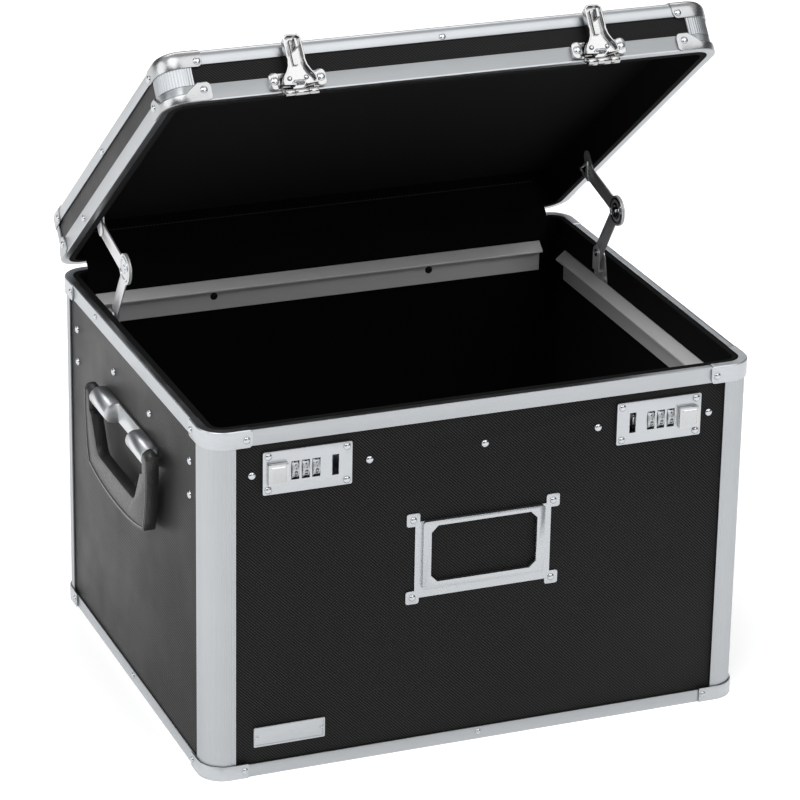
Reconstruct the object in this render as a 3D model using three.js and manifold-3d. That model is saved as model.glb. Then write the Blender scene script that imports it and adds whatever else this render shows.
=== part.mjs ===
// Locking file chest: laminated panels held in aluminium extrusions, two combination lock plates,
// two flip-up hasps, drop handles on both ends, folding lid stays and rails for hanging folders.
// Millimetres, +Z up, +Y to the back. The origin is the centre of the underside.
import * as THREE from 'three';
import { mergeVertices } from 'three/addons/utils/BufferGeometryUtils.js';
import Module from 'manifold-3d';

const wasm = await Module();
wasm.setup();

// ---- Driving dimensions -------------------------------------------------------------------------
const caseWidth = 444; // over the extrusions
const caseDepth = 364;
const caseHeight = 286; // underside to the top of the case's own rim
const lidHeight = 41;
const partingGap = 0.8; // between the two rims when the lid is shut
const lidOpenAngle = 38.2; // degrees from shut, as the chest stands at rest

const cornerRadius = 18.5; // vertical edges
const postFlange = 23.3; // corner post, from the corner to the visible edge of the panel
const rimFace = 13; // visible height of the rims around the opening
const baseFace = 10.2; // visible height of the bottom rim
const upperRimFace = 12.4; // visible height of the lid's upper rim
const beadRise = 0.7; // bright bead along each mating edge
const beadHeight = 1.6;

const gap = 0.3; // between touching pieces
const extrusionWall = 1.0;
const panelThickness = 5;
const panelFace = extrusionWall + gap; // depth of a panel's outer face behind the extrusion's face
const channelInner = panelFace + panelThickness + gap;
const innerWall = channelInner + 1.4; // inner face of the extrusions
const liningOuter = innerWall + gap;
const liningThickness = 1.5;
const liningInner = liningOuter + liningThickness;

const flutePitch = 1.9;
const fluteDepth = 0.28;

const lockCentre = 143; // sideways distance of each lock plate from the middle
const lockHeight = 249.4;
const lockWidth = 70.4;
const lockTall = 34.4;
const lockPlateThickness = 2.2;
const slotCentre = 121; // the hasp's slot, sideways from the middle
const slotWidth = 5.4;
const slotTall = 16.5;
const dialRadius = 8.6;
const dialWidth = 5.6;
const dialPitch = 8.3;
const dialRise = 1.6; // how far a dial stands out of its window
const dialCount = 3;
const windowTall = 14.9;
const buttonRise = 3.3;

const hingeLength = 380;
const knuckleCount = 9;
const knuckleRadius = 3;
const pinRadius = 1.4;

const handleReach = 80; // half length of a grip
const handleThickness = 9.6;

// ---- Derived planes -----------------------------------------------------------------------------
const halfW = caseWidth / 2;
const halfD = caseDepth / 2;
const lidBase = caseHeight + partingGap;
const lidTop = lidBase + lidHeight;
const upperRimBottom = lidTop - upperRimFace;
const plateFaceY = -halfD + panelFace - gap - lockPlateThickness; // outer face of the lock plates
const hingeY = halfD + knuckleRadius + 0.4;
const hingeZ = caseHeight - 6.6;

// ---- Materials ----------------------------------------------------------------------------------
function material(color, roughness, metalness) {
  return new THREE.MeshStandardMaterial({ color, roughness, metalness });
}
const aluminium = material(0xd4d8dc, 0.35, 1);
const chrome = material(0xe4e6e8, 0.12, 1);
const steel = material(0xc4c6c8, 0.3, 1);
const laminate = material(0x1b1b1c, 0.5, 0);
const felt = material(0x0c0c0d, 0.95, 0);
const plastic = material(0x2a2a2b, 0.55, 0);
const dialMetal = material(0xcfd0d0, 0.3, 1);

// ---- Solid helpers ------------------------------------------------------------------------------
function toSolid(geometry) {
  const bare = geometry.clone();
  bare.deleteAttribute('normal');
  bare.deleteAttribute('uv');
  const merged = mergeVertices(bare, 1e-4);
  const mesh = new wasm.Mesh({
    numProp: 3,
    vertProperties: new Float32Array(merged.attributes.position.array),
    triVerts: new Uint32Array(merged.index.array),
  });
  return new wasm.Manifold(mesh);
}

function toGeometry(solid) {
  const { vertProperties, triVerts } = solid.getMesh();
  const geometry = new THREE.BufferGeometry();
  geometry.setAttribute('position', new THREE.Float32BufferAttribute(vertProperties, 3));
  geometry.setIndex(Array.from(triVerts));
  geometry.computeVertexNormals();
  return geometry;
}

function cut(solid, ...tools) {
  return tools.reduce((rest, tool) => rest.subtract(tool), solid);
}

function join(solid, ...others) {
  return others.reduce((sum, other) => sum.add(other), solid);
}

// A box between two corners.
function block([x0, x1], [y0, y1], [z0, z1]) {
  const geometry = new THREE.BoxGeometry(Math.abs(x1 - x0), Math.abs(y1 - y0), Math.abs(z1 - z0));
  geometry.translate((x0 + x1) / 2, (y0 + y1) / 2, (z0 + z1) / 2);
  return toSolid(geometry);
}

function extrude(shape, depth) {
  return new THREE.ExtrudeGeometry(shape, { depth, bevelEnabled: false, curveSegments: 6, steps: 1 });
}

function outline(points) {
  return new THREE.Shape(points.map(([u, v]) => new THREE.Vector2(u, v)));
}

// A shape drawn in X and Y, extruded from z0 to z1.
function prismZ(shape, z0, z1) {
  return toSolid(extrude(shape, z1 - z0).translate(0, 0, z0));
}

// A shape drawn in X and Z, extruded from y0 to y1.
function prismY(shape, y0, y1) {
  return toSolid(extrude(shape, y1 - y0).rotateX(Math.PI / 2).translate(0, y1, 0));
}

// A shape drawn in Y and Z, extruded from x0 to x1.
function prismX(shape, x0, x1) {
  const geometry = extrude(shape, x1 - x0).rotateX(Math.PI / 2).rotateZ(Math.PI / 2);
  return toSolid(geometry.translate(x0, 0, 0));
}

// A round bar along X.
function barX(radius, x0, x1, y, z, sides = 16) {
  const geometry = new THREE.CylinderGeometry(radius, radius, x1 - x0, sides);
  return toSolid(geometry.rotateZ(Math.PI / 2).translate((x0 + x1) / 2, y, z));
}

// A round bar along Y.
function barY(radius, y0, y1, x, z, sides = 16) {
  const geometry = new THREE.CylinderGeometry(radius, radius, y1 - y0, sides);
  return toSolid(geometry.translate(x, (y0 + y1) / 2, z));
}

function roundedRectangle(u0, u1, v0, v1, radius) {
  const shape = new THREE.Shape();
  shape.moveTo(u0 + radius, v0);
  shape.lineTo(u1 - radius, v0);
  shape.absarc(u1 - radius, v0 + radius, radius, -Math.PI / 2, 0);
  shape.lineTo(u1, v1 - radius);
  shape.absarc(u1 - radius, v1 - radius, radius, 0, Math.PI / 2);
  shape.lineTo(u0 + radius, v1);
  shape.absarc(u0 + radius, v1 - radius, radius, Math.PI / 2, Math.PI);
  shape.lineTo(u0, v0 + radius);
  shape.absarc(u0 + radius, v0 + radius, radius, Math.PI, 1.5 * Math.PI);
  return shape;
}

// The chest's plan outline, drawn in by some distance.
function plan(inset) {
  const radius = Math.max(cornerRadius - inset, 3);
  return roundedRectangle(-halfW + inset, halfW - inset, -halfD + inset, halfD - inset, radius);
}

function planBlock(inset, z0, z1) {
  return prismZ(plan(inset), z0, z1);
}

function ring(outer, inner, z0, z1) {
  return planBlock(outer, z0, z1).subtract(planBlock(inner, z0 - 1, z1 + 1));
}

const chest = new THREE.Group();
const lid = new THREE.Group(); // drawn shut, then turned about the hinge pin
chest.add(lid);

function piece(name, solid, finish, parent = chest) {
  const mesh = new THREE.Mesh(toGeometry(solid), finish);
  mesh.name = name;
  parent.add(mesh);
  return mesh;
}

// ---- Case panels --------------------------------------------------------------------------------
const postChannel = 18.8; // floor of a post's panel channel, from the corner
const panelEnd = postChannel + gap; // edge of a wall panel, from the corner
const panelBottom = 3;
const panelTop = caseHeight - 4.8;
const bottomPanelThickness = 6;
const bottomInset = 10.6;

const lockBoxHalf = 29.6; // half width of the lock box behind its plate
const lockBoxTall = 24;
const lockBoxDepth = 21.5;

// The opening through the wall that takes a lock box.
function lockCutout(side, y0, y1) {
  const half = lockBoxHalf + gap;
  const tall = lockBoxTall / 2 + gap;
  const x = side * lockCentre;
  return block([x - half, x + half], [y0, y1], [lockHeight - tall, lockHeight + tall]);
}

function casePanels() {
  const x = halfW - panelEnd;
  const y = halfD - panelEnd;
  const near = panelFace;
  const far = panelFace + panelThickness;
  const heights = [panelBottom, panelTop];
  const front = block([-x, x], [-halfD + near, -halfD + far], heights);
  const opened = cut(front, ...[-1, 1].map((side) => lockCutout(side, -halfD, -halfD + far + 1)));
  piece('front_panel', opened, laminate);
  piece('back_panel', block([-x, x], [halfD - far, halfD - near], heights), laminate);
  piece('left_panel', block([-halfW + near, -halfW + far], [-y, y], heights), laminate);
  piece('right_panel', block([halfW - far, halfW - near], [-y, y], heights), laminate);
  piece('bottom_panel', planBlock(bottomInset, 0, bottomPanelThickness), laminate);
}

function caseLining() {
  const floor = bottomPanelThickness + gap;
  const outside = planBlock(liningOuter, floor, caseHeight - 2);
  const inside = planBlock(liningInner, floor + liningThickness, caseHeight);
  const wall = [-halfD + liningOuter - 1, -halfD + liningInner + 1];
  const openings = [-1, 1].map((side) => lockCutout(side, ...wall));
  piece('case_lining', cut(outside, inside, ...openings), felt);
}

// ---- Corner posts -------------------------------------------------------------------------------
// Points of a fluted face that runs in along one flange, round the corner and out along the other.
function flutedFace(flange) {
  const arc = (Math.PI / 2) * cornerRadius;
  const straight = flange - cornerRadius;
  const length = arc + 2 * straight;
  const count = 2 * Math.round(length / flutePitch);
  const points = [];
  for (let step = 0; step <= count; step += 1) {
    const along = (length * step) / count - straight;
    const depth = step % 2 === 1 ? fluteDepth : 0;
    const angle = THREE.MathUtils.clamp(along / cornerRadius, 0, Math.PI / 2);
    const before = Math.max(-along, 0);
    const after = Math.max(along - arc, 0);
    const reach = cornerRadius - depth;
    const u = cornerRadius - reach * Math.sin(angle) + before;
    const v = cornerRadius - reach * Math.cos(angle) + after;
    points.push([u, v]);
  }
  return points;
}

function arcPoints(radius, from, to, count) {
  const points = [];
  for (let step = 0; step <= count; step += 1) {
    const angle = THREE.MathUtils.degToRad(from + ((to - from) * step) / count);
    points.push([cornerRadius - radius * Math.sin(angle), cornerRadius - radius * Math.cos(angle)]);
  }
  return points;
}

// Section of a post, measured in from its corner: outer skin, two panel channels and a hollow core.
function postSection() {
  const inner = cornerRadius - innerWall;
  const shape = outline([
    ...flutedFace(postFlange),
    [extrusionWall, postFlange],
    [extrusionWall, postChannel],
    [channelInner, postChannel],
    [channelInner, postFlange],
    [innerWall, postFlange],
    ...arcPoints(inner, 90, 0, 4),
    [postFlange, innerWall],
    [postFlange, channelInner],
    [postChannel, channelInner],
    [postChannel, extrusionWall],
    [postFlange, extrusionWall],
  ]);
  const core = [...arcPoints(inner + 1.4, 10, 80, 4), ...arcPoints(cornerRadius - 1.3, 84, 6, 7)];
  shape.holes.push(new THREE.Path(core.map(([u, v]) => new THREE.Vector2(u, v))));
  return shape;
}

const corners = [
  { name: 'front_left', turn: 0, x: -halfW, y: -halfD },
  { name: 'front_right', turn: 1, x: halfW, y: -halfD },
  { name: 'back_right', turn: 2, x: halfW, y: halfD },
  { name: 'back_left', turn: 3, x: -halfW, y: halfD },
];

// Puts a mesh drawn in from the front left corner at another corner.
function placeAtCorner(mesh, corner) {
  mesh.rotation.z = (corner.turn * Math.PI) / 2;
  mesh.position.set(corner.x, corner.y, 0);
}

function cornerPosts() {
  const solid = prismZ(postSection(), baseFace + gap, caseHeight - rimFace - gap);
  for (const corner of corners) {
    placeAtCorner(piece(`corner_post_${corner.name}`, solid, aluminium), corner);
  }
}

// ---- Rims of the case ---------------------------------------------------------------------------
function caseRims() {
  const rimBottom = caseHeight - rimFace;
  const rim = join(
    ring(0, innerWall, rimBottom, caseHeight),
    ring(-beadRise, 3, caseHeight - beadHeight, caseHeight),
  );
  const groove = ring(extrusionWall, channelInner, rimBottom - 1, panelTop + gap);
  piece('case_top_rim', cut(rim, groove), aluminium);

  const ledge = ring(0, bottomInset - gap, 0, bottomPanelThickness);
  const base = join(ledge, ring(0, innerWall, 0, baseFace));
  const slot = ring(extrusionWall, channelInner, panelBottom - gap, baseFace + 1);
  piece('case_bottom_rim', cut(base, slot), aluminium);
}

// Pressed cap round a bottom corner: wall outside the rim and a rounded lip over its top edge.
function cornerCaps() {
  const reach = 33;
  const thickness = 1.2;
  const outer = -gap - thickness;
  for (const corner of corners) {
    const sx = Math.sign(corner.x);
    const sy = Math.sign(corner.y);
    const sheet = ring(outer, -gap, 0, baseFace + 1.4);
    const near = block([corner.x - sx * reach, corner.x + sx * 5], [corner.y - sy * reach, corner.y + sy * 5], [-1, 20]);
    piece(`corner_cap_${corner.name}`, sheet.intersect(near), aluminium);
  }
}

// ---- Front trim ---------------------------------------------------------------------------------
const labelFlange = { bottom: 128.8, top: 192, half: 55.7 };
const labelPlate = { bottom: 136, top: 192, half: 50, rise: 3.7 };
const labelTabs = { x: 57.3, z: 161.65, reach: 32.2 };

function chamferedRectangle(halfU, halfV, chamfer, centreV) {
  return [
    [-halfU + chamfer, centreV - halfV],
    [halfU - chamfer, centreV - halfV],
    [halfU, centreV - halfV + chamfer],
    [halfU, centreV + halfV - chamfer],
    [halfU - chamfer, centreV + halfV],
    [-halfU + chamfer, centreV + halfV],
    [-halfU, centreV + halfV - chamfer],
    [-halfU, centreV - halfV + chamfer],
  ];
}

// Thin flange with a rivet tab at each corner, and a raised frame on it with an eight-sided window.
function labelHolder() {
  const face = -halfD + panelFace - gap;
  const sheet = 0.9;
  const { half, bottom, top } = labelFlange;
  const flange = outline(chamferedRectangle(half, (top - bottom) / 2, 2, (top + bottom) / 2));
  const tall = (labelPlate.top - labelPlate.bottom) / 2;
  const middle = (labelPlate.top + labelPlate.bottom) / 2;
  const raised = outline(chamferedRectangle(labelPlate.half, tall, 1.5, middle));
  const window = outline(chamferedRectangle(43.4, 23.3, 5.4, 164.8));
  const tabs = [-1, 1].flatMap((u) => [-1, 1].map((v) => {
    const x = u * labelTabs.x;
    const z = labelTabs.z + v * labelTabs.reach;
    return prismY(roundedRectangle(x - 5.4, x + 5.4, z - 5.4, z + 5.4, 2), face - sheet, face);
  }));
  const body = join(prismY(flange, face - sheet, face), prismY(raised, face - labelPlate.rise, face), ...tabs);
  piece('label_holder', cut(body, prismY(window, face - 6, face + 1)), steel);
}

function badgePlate() {
  const face = -halfD + panelFace - gap;
  const plate = roundedRectangle(-184.4, -127, 24, 40.4, 1);
  piece('badge_plate', prismY(plate, face - 1, face), steel);
}

// ---- Rails for hanging folders ------------------------------------------------------------------
// Section against a wall: a web, and a flange that slopes in from the web's top edge.
function railSection(top) {
  const web = 1.5;
  return [
    [0, top - 26],
    [0, top],
    [1, top],
    [8.6, top - 6.4],
    [8.6, top - 8],
    [web, top - 2.6],
    [web, top - 26],
  ];
}

function fileRails() {
  const wall = liningInner + gap;
  const alongX = 196;
  const alongY = 152;
  const high = railSection(266);
  const low = railSection(262);
  const back = outline(high.map(([reach, z]) => [halfD - wall - reach, z]));
  const front = outline(high.map(([reach, z]) => [-halfD + wall + reach, z]));
  const left = outline(low.map(([reach, z]) => [-halfW + wall + reach, z]));
  const right = outline(low.map(([reach, z]) => [halfW - wall - reach, z]));
  const clearOfLocks = 108;
  piece('file_rail_back', prismX(back, -alongX, alongX), aluminium);
  piece('file_rail_front', prismX(front, -clearOfLocks, clearOfLocks), aluminium);
  piece('file_rail_left', prismY(left, -alongY, alongY), aluminium);
  piece('file_rail_right', prismY(right, -alongY, alongY), aluminium);
}

// ---- Locks --------------------------------------------------------------------------------------
const dialAxisY = plateFaceY + dialRadius - dialRise;
const dialFirst = 136.2; // sideways place of the dial nearest the slot
const dialPlaces = Array.from({ length: dialCount }, (_, index) => dialFirst + index * dialPitch);
const shaftRadius = 1.8;

// A range of x given by sideways distances from the middle, on the left (-1) or the right (1).
function span(side, from, to) {
  return side > 0 ? [from, to] : [-to, -from];
}

function lockPlate(side) {
  const wall = 1.2;
  const back = plateFaceY + lockPlateThickness;
  const [x0, x1] = span(side, lockCentre - lockWidth / 2, lockCentre + lockWidth / 2);
  const half = lockTall / 2;
  const plate = prismY(roundedRectangle(x0, x1, lockHeight - half, lockHeight + half, 1.5), plateFaceY, back);
  const boxX = span(side, lockCentre - lockBoxHalf, lockCentre + lockBoxHalf);
  const boxZ = [lockHeight - lockBoxTall / 2, lockHeight + lockBoxTall / 2];
  const box = block(boxX, [back - 1, plateFaceY + lockBoxDepth], boxZ);
  const cavity = block(
    [boxX[0] + wall, boxX[1] - wall],
    [back, plateFaceY + lockBoxDepth - wall],
    [boxZ[0] + wall, boxZ[1] - wall],
  );
  const through = [plateFaceY - 1, back + 1];
  const windows = dialPlaces.map((place) => block(
    span(side, place - dialWidth / 2 - 0.4, place + dialWidth / 2 + 0.4),
    through,
    [lockHeight - windowTall / 2, lockHeight + windowTall / 2],
  ));
  const slot = block(
    span(side, slotCentre - slotWidth / 2, slotCentre + slotWidth / 2),
    through,
    [lockHeight - slotTall / 2, lockHeight + slotTall / 2],
  );
  const neckWay = block(span(side, 160.4, 169.6), through, [lockHeight - 5.4, lockHeight + 5.4]);
  const shaft = barX(shaftRadius, ...span(side, 132, 172), dialAxisY, lockHeight, 10);
  const partition = block(span(side, 131.9, 132.9), [back - 0.5, plateFaceY + 17], boxZ);
  const shell = cut(join(plate, box), cavity, slot, neckWay, ...windows);
  return join(shell, shaft, partition);
}

// Button, neck, a bar that passes behind the dials, and the latch nose at the slot, in one slider.
function lockSlider(side) {
  const face = plateFaceY - gap;
  const deep = plateFaceY + lockBoxDepth - 1.2 - gap;
  const barBack = [deep - 1.4, deep];
  const button = prismY(
    roundedRectangle(...span(side, 159, 175), lockHeight - 9, lockHeight + 8, 0.8),
    face - buttonRise,
    face,
  );
  const neck = block(span(side, 161, 166), [face - 1, deep], [lockHeight - 5, lockHeight + 5]);
  const clearShaft = block(
    span(side, 160, 167),
    [dialAxisY - shaftRadius - 0.6, dialAxisY + shaftRadius + 0.6],
    [lockHeight - shaftRadius - 0.6, lockHeight + shaftRadius + 0.6],
  );
  const bar = block(span(side, 126, 166), barBack, [lockHeight - 4, lockHeight + 4]);
  const riser = block(span(side, 125.4, 128.4), [plateFaceY + 3.4, deep], [lockHeight - 8.4, lockHeight + 3]);
  const nose = block(
    span(side, slotCentre + 1.6, 126.5),
    [plateFaceY + 3.4, plateFaceY + 4.8],
    [lockHeight - 3, lockHeight + 3],
  );
  return join(cut(neck, clearShaft), button, bar, riser, nose);
}

function dial(side, place) {
  const [x0, x1] = span(side, place - dialWidth / 2, place + dialWidth / 2);
  const wheel = barX(dialRadius, x0, x1, dialAxisY, lockHeight, 30);
  return wheel.subtract(barX(shaftRadius + 0.3, x0 - 1, x1 + 1, dialAxisY, lockHeight, 12));
}

function locks() {
  for (const [name, side] of [['left', -1], ['right', 1]]) {
    piece(`${name}_lock_plate`, lockPlate(side), steel);
    piece(`${name}_lock_slider`, lockSlider(side), chrome);
    dialPlaces.forEach((place, index) => {
      piece(`${name}_dial_${index + 1}`, dial(side, place), dialMetal);
    });
  }
}

// ---- Drop handles -------------------------------------------------------------------------------
// Drawn for the left end with x as the distance out from the extrusions' face, then turned round.
const handlePivotZ = 222;
const handlePivotOut = 6.2;
const gripBack = 3; // the grip hangs this far out from the wall
const hoodRadius = 8;

function handleBracket() {
  const wallFace = -panelFace + gap;
  const strapShape = roundedRectangle(-66, 66, handlePivotZ - hoodRadius, handlePivotZ + hoodRadius, 7.9);
  const strap = prismX(strapShape, wallFace, wallFace + 1.8);
  const hoods = [-1, 1].map((end) => {
    const [y0, y1] = end > 0 ? [27, 66] : [-66, -27];
    const outside = new THREE.Shape();
    const centre = handlePivotOut - 1.4;
    outside.moveTo(wallFace, handlePivotZ - hoodRadius);
    outside.lineTo(centre, handlePivotZ - hoodRadius);
    outside.absarc(centre, handlePivotZ, hoodRadius, -Math.PI / 2, Math.PI / 2);
    outside.lineTo(wallFace, handlePivotZ + hoodRadius);
    const hood = prismY(outside, y0, y1);
    const [c0, c1] = end > 0 ? [34, 70] : [-70, -34];
    return hood.subtract(barY(5, c0, c1, handlePivotOut, handlePivotZ, 16));
  });
  return join(strap, ...hoods);
}

function gripOutline() {
  const shape = new THREE.Shape();
  const hubBottom = handlePivotZ - 11.5;
  shape.moveTo(-handleReach, handlePivotZ + 7);
  shape.bezierCurveTo(-handleReach, 205, -78, 180, -70, 164);
  shape.bezierCurveTo(-50, 158, -24, 156, 0, 156);
  shape.bezierCurveTo(24, 156, 50, 158, 70, 164);
  shape.bezierCurveTo(78, 180, handleReach, 205, handleReach, handlePivotZ + 7);
  shape.lineTo(67.5, handlePivotZ + 7);
  shape.lineTo(67.5, hubBottom);
  shape.lineTo(62, hubBottom - 2);
  shape.lineTo(51, 188);
  shape.quadraticCurveTo(48, 180, 39, 180);
  shape.lineTo(-39, 180);
  shape.quadraticCurveTo(-48, 180, -51, 188);
  shape.lineTo(-62, hubBottom - 2);
  shape.lineTo(-67.5, hubBottom);
  shape.lineTo(-67.5, handlePivotZ + 7);
  return shape;
}

function grip() {
  const slab = prismX(gripOutline(), gripBack, gripBack + handleThickness);
  const roundTop = [-1, 1].map((end) => {
    const [y0, y1] = end > 0 ? [60, 90] : [-90, -60];
    const corner = block([-5, 20], [y0, y1], [handlePivotZ, handlePivotZ + 12]);
    return corner.subtract(barY(7, y0 - 1, y1 + 1, handlePivotOut, handlePivotZ, 20));
  });
  const stubs = [-1, 1].map((end) => {
    const [y0, y1] = end > 0 ? [36, 70] : [-70, -36];
    return barY(4.6, y0, y1, handlePivotOut, handlePivotZ, 16);
  });
  return join(cut(slab, ...roundTop), ...stubs);
}

function handles() {
  for (const [name, turn] of [['left', Math.PI], ['right', 0]]) {
    for (const [part, solid, finish] of [
      ['handle_bracket', handleBracket(), chrome],
      ['handle_grip', grip(), plastic],
    ]) {
      const mesh = piece(`${name}_${part}`, solid, finish);
      mesh.rotation.z = turn;
      mesh.position.x = turn ? -halfW : halfW;
    }
  }
}

// ---- Lid ----------------------------------------------------------------------------------------
const topPanelInset = 9;
const topPanelUpper = lidTop - extrusionWall - gap;
const topPanelLower = topPanelUpper - panelThickness;
const topFlange = 21; // how far the upper rim reaches in over the lid's top
const edgeRound = 6;

function lidShell() {
  const bandBottom = lidBase + 4.8;
  const bandTop = lidTop - 7.2;
  piece('lid_band', ring(panelFace, panelFace + panelThickness, bandBottom, bandTop), laminate, lid);
  piece('lid_top_panel', planBlock(topPanelInset, topPanelLower, topPanelUpper), laminate, lid);

  const rimTop = lidBase + rimFace;
  const lower = join(
    ring(0, innerWall, lidBase, rimTop),
    ring(-beadRise, 3, lidBase, lidBase + beadHeight),
  );
  const groove = ring(extrusionWall, channelInner, bandBottom - gap, rimTop + 1);
  piece('lid_lower_rim', cut(lower, groove), aluminium, lid);

  piece('lid_upper_rim', lidUpperRim(bandTop), aluminium, lid);
}

// Rim with a rounded outer edge, a channel for the band below and a ledge for the top panel inside.
function lidUpperRim(bandTop) {
  const rounded = new THREE.ExtrudeGeometry(plan(edgeRound), {
    depth: lidHeight,
    bevelEnabled: true,
    bevelThickness: edgeRound,
    bevelSize: edgeRound,
    bevelSegments: 4,
    curveSegments: 6,
  });
  rounded.translate(0, 0, lidTop - lidHeight - edgeRound);
  const body = toSolid(rounded).intersect(planBlock(-5, upperRimBottom, lidTop + 1));
  const bandGroove = ring(extrusionWall, channelInner, upperRimBottom - 1, bandTop + gap);
  const panelSeat = planBlock(topPanelInset - gap, topPanelLower - gap, topPanelUpper + gap);
  const opening = planBlock(topFlange, upperRimBottom - 1, lidTop + 2);
  const below = planBlock(innerWall, upperRimBottom - 1, topPanelLower - gap - 1.2);
  return cut(body, bandGroove, panelSeat, opening, below);
}

function lidCorners() {
  const skin = outline([
    ...flutedFace(postFlange),
    [extrusionWall - 0.05, postFlange],
    ...arcPoints(cornerRadius - extrusionWall + 0.05, 90, 0, 8),
    [postFlange, extrusionWall - 0.05],
  ]);
  const solid = prismZ(skin, lidBase + rimFace + gap, upperRimBottom - gap);
  for (const corner of corners) {
    placeAtCorner(piece(`lid_corner_${corner.name}`, solid, aluminium, lid), corner);
  }
}

function lidLining() {
  const ceiling = topPanelLower - gap - 1.2 - gap;
  const outside = planBlock(liningOuter, lidBase + 2, ceiling);
  const inside = planBlock(liningInner, lidBase, ceiling - liningThickness);
  piece('lid_lining', outside.subtract(inside), felt, lid);
}

// ---- Piano hinge --------------------------------------------------------------------------------
function hingeLeaf(z0, z1, parity, bore) {
  const leafFace = halfD + gap + beadRise;
  const pitch = hingeLength / knuckleCount;
  let leaf = block([-hingeLength / 2, hingeLength / 2], [leafFace, leafFace + 1.2], [z0, z1]);
  for (let index = 0; index < knuckleCount; index += 1) {
    const x0 = -hingeLength / 2 + index * pitch + gap / 2;
    const x1 = x0 + pitch - gap;
    if (index % 2 === parity) {
      const web = block([x0, x1], [leafFace, leafFace + 1.2], [Math.min(z0, hingeZ), Math.max(z1, hingeZ)]);
      const barrel = barX(knuckleRadius, x0, x1, hingeY + beadRise, hingeZ, 14);
      leaf = join(leaf, web, barrel);
    }
  }
  if (!bore) {
    return leaf;
  }
  const clearance = pinRadius + 0.3;
  return leaf.subtract(barX(clearance, -hingeLength, hingeLength, hingeY + beadRise, hingeZ, 12));
}

function hinge() {
  const caseTop = hingeZ - knuckleRadius - gap;
  const lidBottom = hingeZ + knuckleRadius + gap;
  const end = hingeLength / 2 - 0.5;
  const pin = barX(pinRadius, -end, end, hingeY + beadRise, hingeZ, 12);
  const caseLeaf = join(hingeLeaf(caseTop - 18, caseTop, 0, false), pin);
  piece('hinge_leaf_case', caseLeaf, steel);
  piece('hinge_leaf_lid', hingeLeaf(lidBottom, lidBottom + 18, 1, true), steel, lid);
}

// ---- Hasps --------------------------------------------------------------------------------------
const haspY = -halfD - 6;
const haspZ = lidBase - 2.6;
const haspBarrel = 3;
const haspKnuckle = 5.2; // half width of the arm's own knuckle

function haspBracket(side) {
  const x = side * slotCentre;
  const face = -halfD - gap;
  const plate = prismY(roundedRectangle(x - 22, x + 22, lidBase + 2.2, lidBase + 14.8, 4.5), face - 1.2, face);
  const pads = [-1, 1].map((end) => {
    const [x0, x1] = end > 0 ? [x + 14, x + 22] : [x - 22, x - 14];
    return prismY(roundedRectangle(x0, x1, lidBase + 2.2, lidBase + 14.8, 3.5), face - 3.6, face);
  });
  const knuckles = [-1, 1].flatMap((end) => {
    const from = haspKnuckle + 0.4;
    const [x0, x1] = end > 0 ? [x + from, x + 12.8] : [x - 12.8, x - from];
    return [
      barX(haspBarrel, x0, x1, haspY, haspZ, 16),
      block([x0, x1], [haspY, face - 0.8], [haspZ + 0.8, haspZ + 2.4]),
      block([x0, x1], [face - 2.2, face - 0.8], [haspZ + 0.8, lidBase + 4]),
    ];
  });
  return join(plate, ...pads, ...knuckles, barX(1.2, x - 11, x + 11, haspY, haspZ, 10));
}

// One side of the arm's outline, from its neck down to the tip, as (sideways, below the pin) points.
const haspProfile = [
  [haspKnuckle, 1],
  [haspKnuckle, 4.6],
  [13, 5.2],
  [13.3, 8.5],
  [12, 12],
  [9.6, 15.4],
  [7.6, 19.6],
  [6.7, 24.5],
  [7, 26.5],
  [6.8, 41.2],
  [4.6, 44],
];

function haspOutline(x, inset) {
  const half = haspProfile.map(([u, v], index) => [
    u - inset,
    haspZ - (index === 0 ? v : Math.min(Math.max(v, 4.6 + inset), 44 - inset)),
  ]);
  const right = half.map(([u, z]) => [x + u, z]);
  const left = half.map(([u, z]) => [x - u, z]).reverse();
  return outline([...right, ...left]);
}

// Arm drawn hanging down over its lock: a pressed channel with a rib inside it, and a staple that goes
// through the lock plate's slot to be caught by the latch nose.
function haspArm(side) {
  const x = side * slotCentre;
  const skin = [haspY - 2.2, haspY - 1];
  const lip = plateFaceY - 0.4;
  const body = prismY(haspOutline(x, 0), skin[0], lip);
  const hollow = prismY(haspOutline(x, 1.1), skin[1], lip + 1);
  const clearPin = block([x - 20, x + 20], [skin[1], lip + 1], [haspZ - 4.6, haspZ + 2]);
  const barrel = barX(haspBarrel, x - haspKnuckle, x + haspKnuckle, haspY, haspZ, 16);
  const rib = block([x - 1.8, x + 1.8], [skin[1] - 0.2, haspY + 1.4], [haspZ - 40.5, haspZ - 21]);
  const staple = block([x - 1.2, x + 1.2], [haspY, plateFaceY + 6.4], [lockHeight - 3.4, lockHeight + 3.4]);
  const eye = block([x - 3, x + 3], [plateFaceY + 3, plateFaceY + 5.3], [lockHeight - 1.9, lockHeight + 1.9]);
  const bore = barX(1.6, x - 20, x + 20, haspY, haspZ, 12);
  return cut(join(cut(body, hollow, clearPin), barrel, rib, cut(staple, eye)), bore);
}

function hasps() {
  for (const [name, side] of [['left', -1], ['right', 1]]) {
    piece(`${name}_hasp_bracket`, haspBracket(side), chrome, lid);
    const pivot = new THREE.Group(); // the arm is flipped up about its pin
    pivot.position.set(0, haspY, haspZ);
    pivot.rotation.x = Math.PI;
    lid.add(pivot);
    const arm = piece(`${name}_hasp_arm`, haspArm(side), chrome, pivot);
    arm.position.set(0, -haspY, -haspZ);
  }
}

// ---- Lid stays ----------------------------------------------------------------------------------
// Two flat arms at each side with round knees, one turning on the case and one on the lid.
const stayCase = { y: 79, z: 286 };
const stayLid = { y: 106, z: 346.5 }; // with the lid standing open
const stayKnee = { y: 47.5, z: 333 };
const armWidth = 13;
const kneeRadius = 12.5;
const stayLayers = { ear: [10.1, 11], upper: [11.3, 12.5], lower: [12.8, 14], foot: [14.3, 15.7] };

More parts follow.
